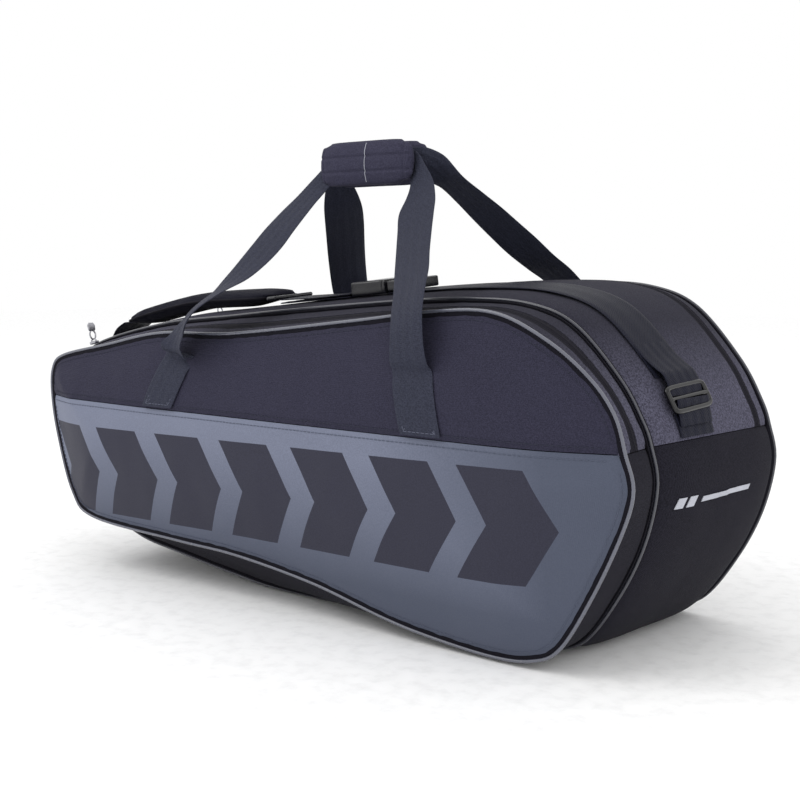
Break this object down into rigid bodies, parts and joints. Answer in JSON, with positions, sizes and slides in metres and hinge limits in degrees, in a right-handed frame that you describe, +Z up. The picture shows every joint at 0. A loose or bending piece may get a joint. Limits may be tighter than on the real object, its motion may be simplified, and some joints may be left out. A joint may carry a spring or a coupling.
{
  "type": "racket tournament bag",
  "caption": "Long padded racket bag, wide at one end, with a zipped front pocket and main compartment, two carrying handles joined by a grip wrap, and a padded shoulder strap on top.",
  "frame": {"origin": "on the floor, at the middle of the bag's length and near the middle of its depth, under the flat part of its base", "axes": "+X along the bag towards the wide racket-head end, -Y out of the front face with the light panel, +Z up"},
  "size_m": [0.7797, 0.314, 0.459],
  "materials": {
    "moulded_plastic": "satin moulded plastic",
    "zip_metal": "dull plated metal",
    "piping_trim": "coated cord with a soft shine",
    "zip_tape": "woven tape with fine coil lines",
    "grey_panel": "light blue-grey coated fabric with a dark printed band",
    "dark_panel": "dark coated fabric",
    "heather_gusset": "heathered grey-violet weave",
    "base_fabric": "near-black weave",
    "lining": "plain dark lining",
    "grip_wrap": "padded weave with lengthwise quilting",
    "strap_pad": "padded weave",
    "webbing": "ribbed webbing"
  },
  "bodies": {
    "main_body": {"base_board": "moulded_plastic", "divider_panel": "lining", "front_gusset_band": "heather_gusset", "front_gusset_lower": "base_fabric", "front_lower_panel": "grey_panel", "front_piping_lower": "piping_trim", "front_zip_inner_half": "zip_tape", "main_gusset_lower": "base_fabric", "main_gusset_upper": "heather_gusset", "middle_piping": "piping_trim", "rear_lower_panel": "base_fabric", "rear_piping_lower": "piping_trim", "rear_zip_inner_half": "zip_tape", "strap_left_tab": "webbing", "strap_adjust_lower": "webbing", "strap_adjust_upper": "webbing", "buckle_socket": "moulded_plastic", "strap_right_webbing": "webbing", "ladder_lock": "moulded_plastic", "strap_right_tab": "webbing"},
    "front_flap": {"front_gusset_strip": "heather_gusset", "front_zip_outer_half": "zip_tape", "front_upper_panel": "dark_panel", "front_piping_upper": "piping_trim", "front_handle_anchor_left": "webbing", "front_handle_anchor_right": "webbing"},
    "rear_flap": {"rear_gusset_strip": "heather_gusset", "rear_zip_outer_half": "zip_tape", "rear_upper_panel": "dark_panel", "rear_piping_upper": "piping_trim", "rear_handle_anchor_left": "webbing", "rear_handle_anchor_right": "webbing"},
    "front_handle": {"front_handle_webbing": "webbing", "front_grip_pad": "grip_wrap"},
    "rear_handle": {"rear_handle_webbing": "webbing", "rear_grip_pad": "grip_wrap"},
    "front_upper_slider": {"front_zip_upper_slider": "zip_metal"},
    "front_upper_pull": {"front_zip_upper_pull": "zip_metal"},
    "front_lower_slider": {"front_zip_lower_slider": "zip_metal"},
    "front_lower_pull": {"front_zip_lower_pull": "zip_metal"},
    "rear_slider": {"rear_zip_slider": "zip_metal"},
    "rear_pull": {"rear_zip_pull": "zip_metal"},
    "shoulder_strap": {"strap_left_webbing": "webbing", "shoulder_pad": "strap_pad", "pad_ring": "moulded_plastic"},
    "buckle_plug_body": {"buckle_plug": "moulded_plastic"}
  },
  "joints": [
    {"name": "front_flap_hinge", "type": "hinge", "parent": "main_body", "child": "front_flap", "pos_m": [0, -0.15, 0.19], "axis": [1, 0, 0], "range_deg": [0, 65]},
    {"name": "rear_flap_hinge", "type": "hinge", "parent": "main_body", "child": "rear_flap", "pos_m": [0, 0.149, 0.19], "axis": [-1, 0, 0], "range_deg": [0, 65]},
    {"name": "front_handle_fold", "type": "hinge", "parent": "front_flap", "child": "front_handle", "pos_m": [0, -0.144, 0.248], "axis": [1, 0, 0], "range_deg": [0, 110]},
    {"name": "rear_handle_fold", "type": "hinge", "parent": "rear_flap", "child": "rear_handle", "pos_m": [0, 0.1455, 0.248], "axis": [-1, 0, 0], "range_deg": [0, 110]},
    {"name": "front_upper_slider_run", "type": "slide", "parent": "main_body", "child": "front_upper_slider", "axis": [0.9804, 0, 0.197], "range_m": [0, 0.075]},
    {"name": "front_upper_pull_swing", "type": "hinge", "parent": "front_upper_slider", "child": "front_upper_pull", "pos_m": [-0.3182, -0.0926, 0.25279], "axis": [0, 1, 0], "range_deg": [-75, 75]},
    {"name": "front_lower_slider_run", "type": "slide", "parent": "main_body", "child": "front_lower_slider", "axis": [0, 0, -1], "range_m": [0, 0.012]},
    {"name": "front_lower_pull_swing", "type": "hinge", "parent": "front_lower_slider", "child": "front_lower_pull", "pos_m": [-0.36481, -0.0926, 0.21135], "axis": [0, 1, 0], "range_deg": [-75, 60]},
    {"name": "rear_slider_run", "type": "slide", "parent": "main_body", "child": "rear_slider", "axis": [0.9765, 0, 0.2155], "range_m": [0, 0.075]},
    {"name": "rear_pull_swing", "type": "hinge", "parent": "rear_slider", "child": "rear_pull", "pos_m": [-0.30539, 0.0918, 0.27369], "axis": [0, 1, 0], "range_deg": [-75, 75]},
    {"name": "shoulder_pad_lift", "type": "hinge", "parent": "main_body", "child": "shoulder_strap", "pos_m": [-0.35918, -0.01, 0.23613], "axis": [0, -1, 0], "range_deg": [0, 35]},
    {"name": "buckle_release", "type": "slide", "parent": "main_body", "child": "buckle_plug_body", "axis": [0.996, 0, 0.0896], "range_m": [0, 0.03]}
  ]
}
